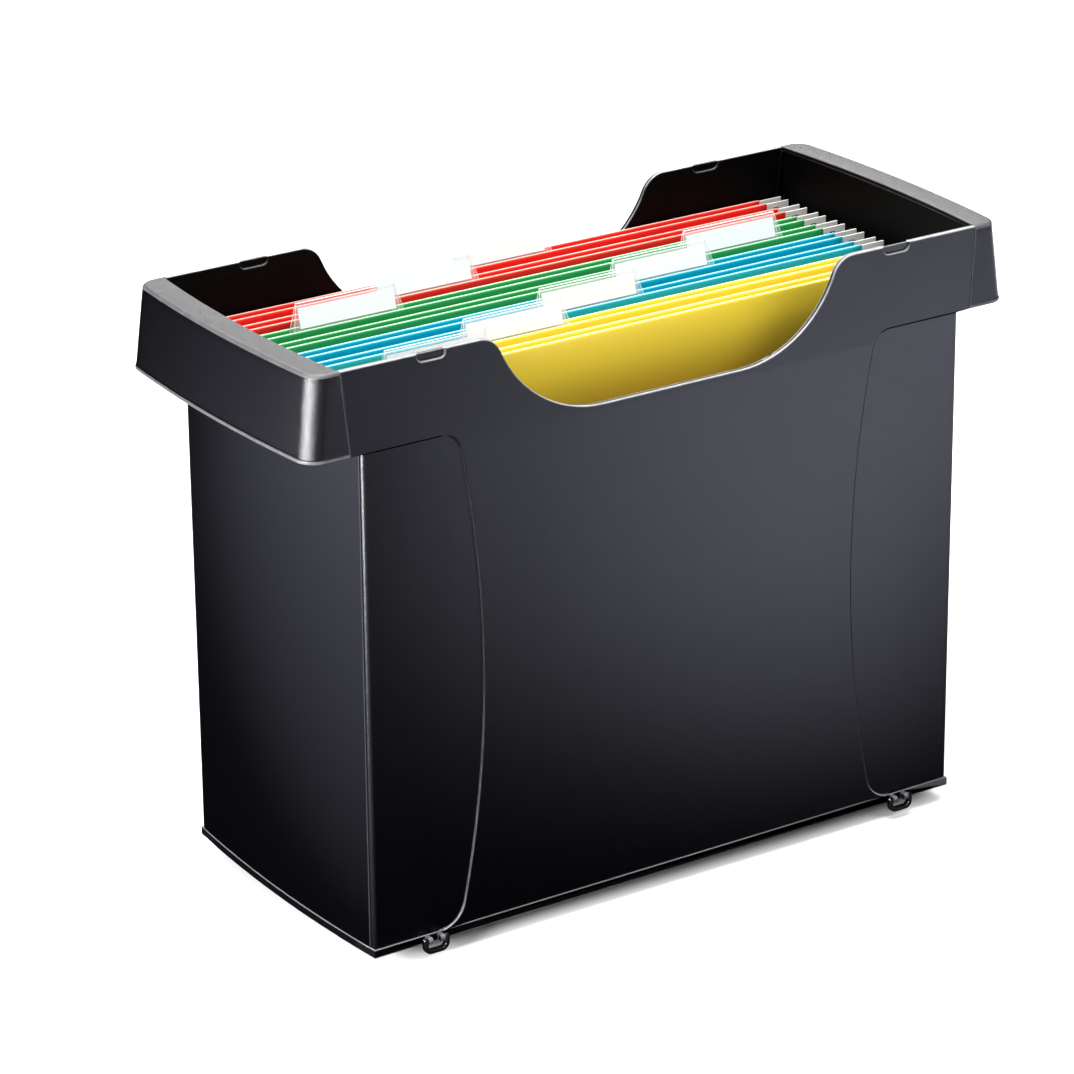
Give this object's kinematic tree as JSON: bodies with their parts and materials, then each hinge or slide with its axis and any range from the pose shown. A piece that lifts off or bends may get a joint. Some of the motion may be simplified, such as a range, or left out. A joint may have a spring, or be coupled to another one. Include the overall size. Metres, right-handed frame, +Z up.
{
  "type": "portable file box",
  "caption": "Black plastic box with two carrying handles, a scooped rim and link clips, holding coloured suspension files with index tabs.",
  "frame": {"origin": "centre of the object's bounding box, on the surface under its feet", "axes": "+X along the box towards its right handle, +Y from the front panel with the link clips to the back panel, +Z up"},
  "size_m": [0.3942, 0.1634, 0.2942],
  "materials": {
    "panel_plastic": "fine textured black polystyrene",
    "end_plastic": "smooth satin black polystyrene",
    "handle_plastic": "fine textured satin black polystyrene",
    "base_plastic": "satin black polystyrene",
    "clip_plastic": "glossy black plastic",
    "card_red": "smooth coloured card",
    "card_green": "smooth coloured card",
    "card_blue": "smooth coloured card",
    "card_yellow": "smooth coloured card",
    "bar_steel": "light grey coated steel",
    "clear_sheet": "clear folded sheet",
    "label_paper": "plain white paper"
  },
  "bodies": {
    "box": {"base_tray": "base_plastic", "side_panel_front": "panel_plastic", "side_panel_back": "panel_plastic", "end_wall_left": "end_plastic", "end_wall_right": "end_plastic", "handle_left": "handle_plastic", "handle_right": "handle_plastic"},
    "link_clip_left": {"link_clip_left": "clip_plastic"},
    "link_clip_right": {"link_clip_right": "clip_plastic"},
    "file_1": {"file_1_pocket": "card_red", "file_1_bar_back": "bar_steel", "file_1_bar_front": "bar_steel", "file_1_tab": "clear_sheet", "file_1_label": "label_paper"},
    "file_2": {"file_2_pocket": "card_red", "file_2_bar_back": "bar_steel", "file_2_bar_front": "bar_steel", "file_2_tab": "clear_sheet", "file_2_label": "label_paper"},
    "file_3": {"file_3_pocket": "card_green", "file_3_bar_back": "bar_steel", "file_3_bar_front": "bar_steel", "file_3_tab": "clear_sheet", "file_3_label": "label_paper"},
    "file_4": {"file_4_pocket": "card_green", "file_4_bar_back": "bar_steel", "file_4_bar_front": "bar_steel", "file_4_tab": "clear_sheet", "file_4_label": "label_paper"},
    "file_5": {"file_5_pocket": "card_blue", "file_5_bar_back": "bar_steel", "file_5_bar_front": "bar_steel", "file_5_tab": "clear_sheet", "file_5_label": "label_paper"},
    "file_6": {"file_6_pocket": "card_blue", "file_6_bar_back": "bar_steel", "file_6_bar_front": "bar_steel", "file_6_tab": "clear_sheet", "file_6_label": "label_paper"},
    "file_7": {"file_7_pocket": "card_yellow", "file_7_bar_back": "bar_steel", "file_7_bar_front": "bar_steel", "file_7_tab": "clear_sheet", "file_7_label": "label_paper"},
    "file_8": {"file_8_pocket": "card_yellow", "file_8_bar_back": "bar_steel", "file_8_bar_front": "bar_steel", "file_8_tab": "clear_sheet", "file_8_label": "label_paper"}
  },
  "joints": [
    {"name": "link_clip_left_swing", "type": "hinge", "parent": "box", "child": "link_clip_left", "pos_m": [-0.1338, -0.0801, 0.0104], "axis": [-1, 0, 0], "range_deg": [-15, 180]},
    {"name": "link_clip_right_swing", "type": "hinge", "parent": "box", "child": "link_clip_right", "pos_m": [0.1338, -0.0801, 0.0104], "axis": [-1, 0, 0], "range_deg": [-15, 180]},
    {"name": "file_1_lift", "type": "slide", "parent": "box", "child": "file_1", "axis": [0, 0, 1], "range_m": [0, 0.27]},
    {"name": "file_2_lift", "type": "slide", "parent": "box", "child": "file_2", "axis": [0, 0, 1], "range_m": [0, 0.27]},
    {"name": "file_3_lift", "type": "slide", "parent": "box", "child": "file_3", "axis": [0, 0, 1], "range_m": [0, 0.27]},
    {"name": "file_4_lift", "type": "slide", "parent": "box", "child": "file_4", "axis": [0, 0, 1], "range_m": [0, 0.27]},
    {"name": "file_5_lift", "type": "slide", "parent": "box", "child": "file_5", "axis": [0, 0, 1], "range_m": [0, 0.27]},
    {"name": "file_6_lift", "type": "slide", "parent": "box", "child": "file_6", "axis": [0, 0, 1], "range_m": [0, 0.27]},
    {"name": "file_7_lift", "type": "slide", "parent": "box", "child": "file_7", "axis": [0, 0, 1], "range_m": [0, 0.27]},
    {"name": "file_8_lift", "type": "slide", "parent": "box", "child": "file_8", "axis": [0, 0, 1], "range_m": [0, 0.27]}
  ]
}
